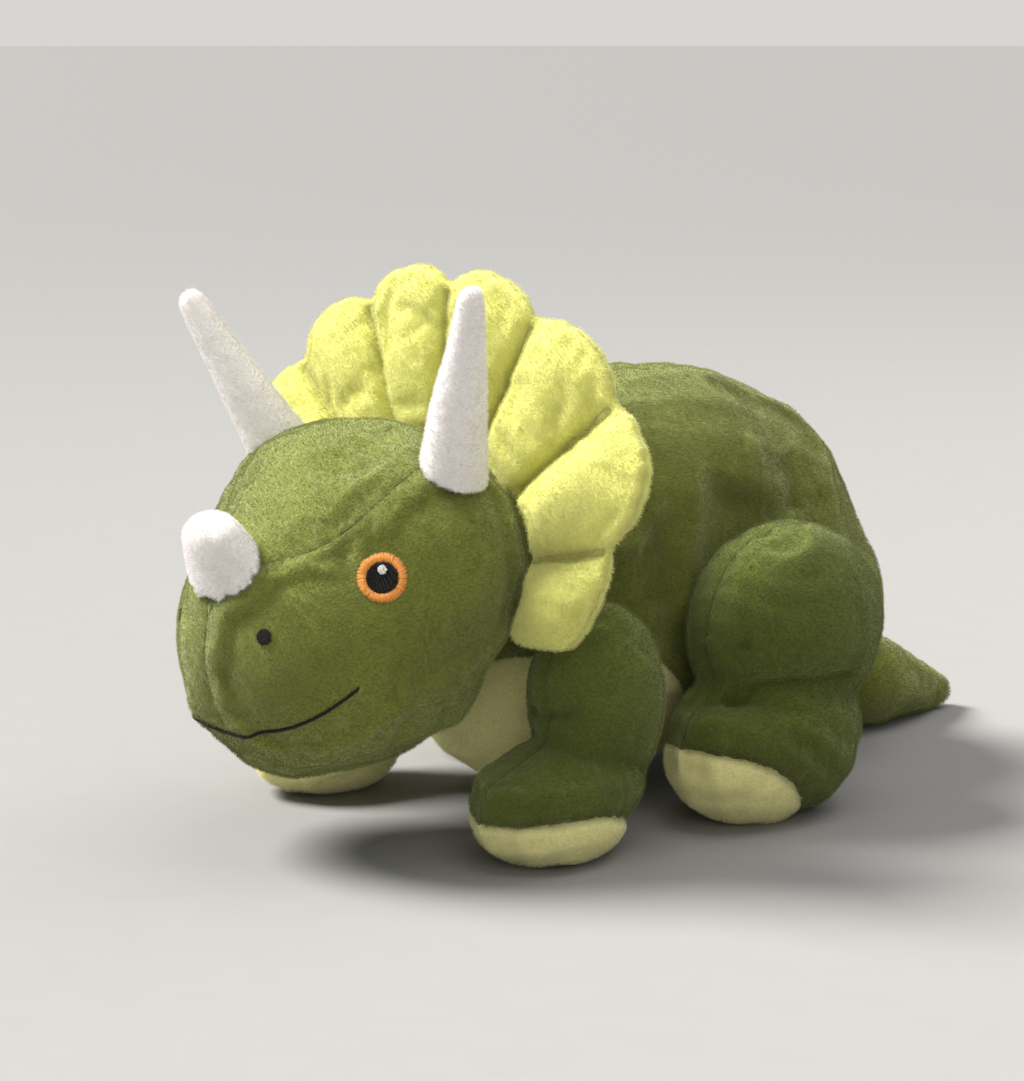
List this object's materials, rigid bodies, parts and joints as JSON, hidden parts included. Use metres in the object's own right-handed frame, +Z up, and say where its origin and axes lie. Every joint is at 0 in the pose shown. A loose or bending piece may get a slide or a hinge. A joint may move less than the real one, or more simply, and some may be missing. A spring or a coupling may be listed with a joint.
{
  "type": "stuffed dinosaur",
  "caption": "Plush triceratops sewn from short-pile fabric panels over stuffing, with a scalloped padded frill, soft horns and embroidered face, on flexing neck, legs and tail.",
  "frame": {"origin": "centre of the toy's footprint, on the surface it rests on", "axes": "+Z up, -Y the way the toy faces, +X towards its left side"},
  "size_m": [0.198, 0.35, 0.1833],
  "materials": {
    "green_plush": "short soft pile",
    "pale_yellow_plush": "short soft pile",
    "polyester_filling": "matt loose fibre",
    "orange_embroidery": "satin stitch, slight sheen",
    "black_embroidery": "satin stitch, slight sheen",
    "white_embroidery": "satin stitch, slight sheen",
    "off_white_plush": "short soft pile",
    "yellow_green_plush": "short soft pile",
    "yellow_green_thread": "sewing thread",
    "dark_green_plush": "short soft pile"
  },
  "bodies": {
    "torso": {"torso_left_panel": "green_plush", "torso_right_panel": "green_plush", "belly_panel": "pale_yellow_plush", "torso_stuffing": "polyester_filling"},
    "neck": {"neck_stuffing": "polyester_filling"},
    "head": {"head_left_panel": "green_plush", "head_right_panel": "green_plush", "forehead_panel": "green_plush", "chin_panel": "green_plush", "head_stuffing": "polyester_filling", "left_eye_ring": "orange_embroidery", "left_eye_pupil": "black_embroidery", "left_eye_highlight": "white_embroidery", "right_eye_ring": "orange_embroidery", "right_eye_pupil": "black_embroidery", "right_eye_highlight": "white_embroidery", "left_nostril": "black_embroidery", "right_nostril": "black_embroidery", "mouth_stitching": "black_embroidery", "nose_horn_cover": "off_white_plush", "nose_horn_stuffing": "polyester_filling", "frill_front_panel": "yellow_green_plush", "frill_back_panel": "yellow_green_plush", "frill_wadding": "polyester_filling", "frill_stitching": "yellow_green_thread", "left_brow_horn_cover": "off_white_plush", "left_brow_horn_stuffing": "polyester_filling", "right_brow_horn_cover": "off_white_plush", "right_brow_horn_stuffing": "polyester_filling"},
    "left_front_leg": {"left_front_leg_outer_panel": "dark_green_plush", "left_front_leg_inner_panel": "dark_green_plush", "left_front_sole": "pale_yellow_plush", "left_front_leg_stuffing": "polyester_filling"},
    "right_front_leg": {"right_front_leg_outer_panel": "dark_green_plush", "right_front_leg_inner_panel": "dark_green_plush", "right_front_sole": "pale_yellow_plush", "right_front_leg_stuffing": "polyester_filling"},
    "left_hind_leg": {"left_hind_leg_outer_panel": "dark_green_plush", "left_hind_leg_inner_panel": "dark_green_plush", "left_hind_sole": "pale_yellow_plush", "left_hind_leg_stuffing": "polyester_filling"},
    "right_hind_leg": {"right_hind_leg_outer_panel": "dark_green_plush", "right_hind_leg_inner_panel": "dark_green_plush", "right_hind_sole": "pale_yellow_plush", "right_hind_leg_stuffing": "polyester_filling"},
    "tail": {"tail_left_panel": "green_plush", "tail_right_panel": "green_plush", "tail_stuffing": "polyester_filling"}
  },
  "joints": [
    {"name": "neck_turn", "type": "hinge", "parent": "torso", "child": "neck", "pos_m": [0, -0.055, 0.084], "axis": [0, 0, 1], "range_deg": [-6, 6], "stiffness_Nm_per_rad": 2.5},
    {"name": "neck_nod", "type": "hinge", "parent": "neck", "child": "head", "pos_m": [0, -0.055, 0.084], "axis": [1, 0, 0], "range_deg": [-8, 2], "stiffness_Nm_per_rad": 2.5},
    {"name": "left_front_leg_swing", "type": "hinge", "parent": "torso", "child": "left_front_leg", "pos_m": [0.038, -0.061, 0.062], "axis": [1, 0, 0], "range_deg": [-20, 4], "stiffness_Nm_per_rad": 1.2},
    {"name": "right_front_leg_swing", "type": "hinge", "parent": "torso", "child": "right_front_leg", "pos_m": [-0.038, -0.061, 0.062], "axis": [1, 0, 0], "range_deg": [-20, 4], "stiffness_Nm_per_rad": 1.2},
    {"name": "left_hind_leg_swing", "type": "hinge", "parent": "torso", "child": "left_hind_leg", "pos_m": [0.043, 0.012, 0.06], "axis": [1, 0, 0], "range_deg": [-4, 12], "stiffness_Nm_per_rad": 1.2},
    {"name": "right_hind_leg_swing", "type": "hinge", "parent": "torso", "child": "right_hind_leg", "pos_m": [-0.043, 0.012, 0.06], "axis": [1, 0, 0], "range_deg": [-4, 12], "stiffness_Nm_per_rad": 1.2},
    {"name": "tail_wag", "type": "hinge", "parent": "torso", "child": "tail", "pos_m": [0, 0.128, 0.0174], "axis": [0, 0, 1], "range_deg": [-25, 25], "stiffness_Nm_per_rad": 0.15}
  ]
}
